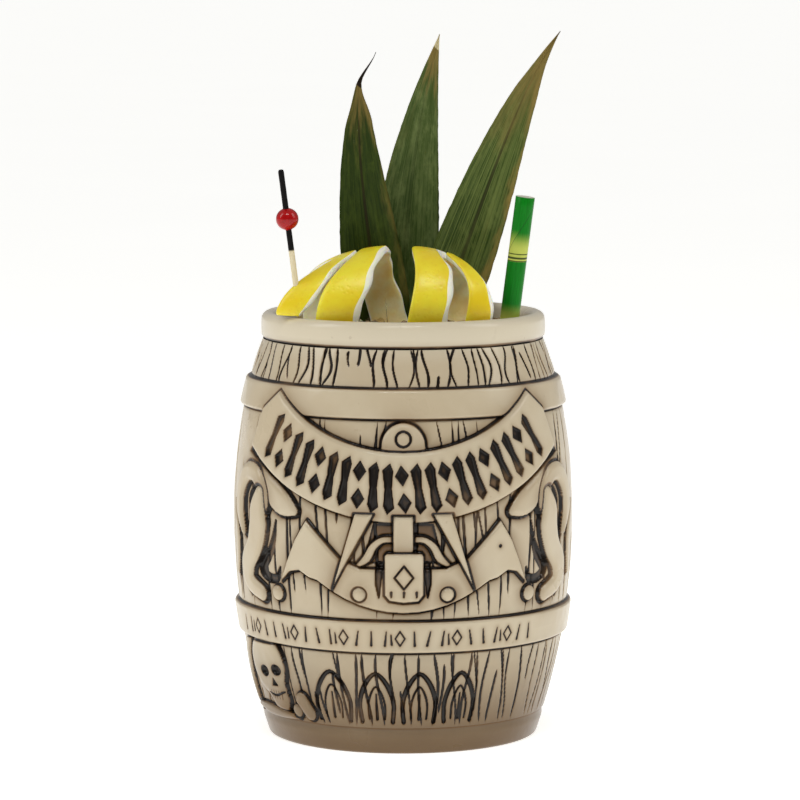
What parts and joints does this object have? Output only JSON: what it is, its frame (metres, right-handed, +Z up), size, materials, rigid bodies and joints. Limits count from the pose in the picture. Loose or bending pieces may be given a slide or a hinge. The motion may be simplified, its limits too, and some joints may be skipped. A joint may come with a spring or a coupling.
{
  "type": "tiki mug",
  "caption": "Barrel-shaped carved ceramic tiki mug with paper straw, beaded cocktail pick, lemon peel spiral and pineapple fronds.",
  "frame": {"origin": "centre of the mug's foot, in the plane that the mug rests on", "axes": "+Z up along the mug's axis, carved front facing -Y, straw on the +X side"},
  "size_m": [0.1072, 0.109, 0.2216],
  "materials": {
    "glazed_ceramic": "satin",
    "straw_paper": "satin",
    "bamboo": "satin",
    "red_bead": "gloss",
    "lemon_rind": "satin",
    "frond_leaf": "satin"
  },
  "bodies": {
    "mug": {"mug_body": "glazed_ceramic"},
    "straw": {"paper_straw": "straw_paper"},
    "pick": {"pick_stick": "bamboo", "pick_bead": "red_bead"},
    "peel": {"lemon_peel": "lemon_rind"},
    "left_frond": {"frond_left": "frond_leaf"},
    "middle_frond": {"frond_middle": "frond_leaf"},
    "right_frond": {"frond_right": "frond_leaf"}
  },
  "joints": [
    {"name": "straw_lift", "type": "slide", "parent": "mug", "child": "straw", "axis": [0.1234, -0.0558, 0.9908], "range_m": [0, 0.135]},
    {"name": "peel_lift", "type": "slide", "parent": "mug", "child": "peel", "axis": [0, 0, 1], "range_m": [0, 0.045]},
    {"name": "pick_pull", "type": "slide", "parent": "peel", "child": "pick", "axis": [-0.1228, -0.1149, 0.9858], "range_m": [0, 0.055]},
    {"name": "left_frond_lift", "type": "slide", "parent": "mug", "child": "left_frond", "axis": [-0.1392, 0, 0.9903], "range_m": [0, 0.065]},
    {"name": "middle_frond_lift", "type": "slide", "parent": "mug", "child": "middle_frond", "axis": [0, 0, 1], "range_m": [0, 0.06]},
    {"name": "right_frond_lift", "type": "slide", "parent": "mug", "child": "right_frond", "axis": [0.3338, 0, 0.9426], "range_m": [0, 0.065]}
  ]
}
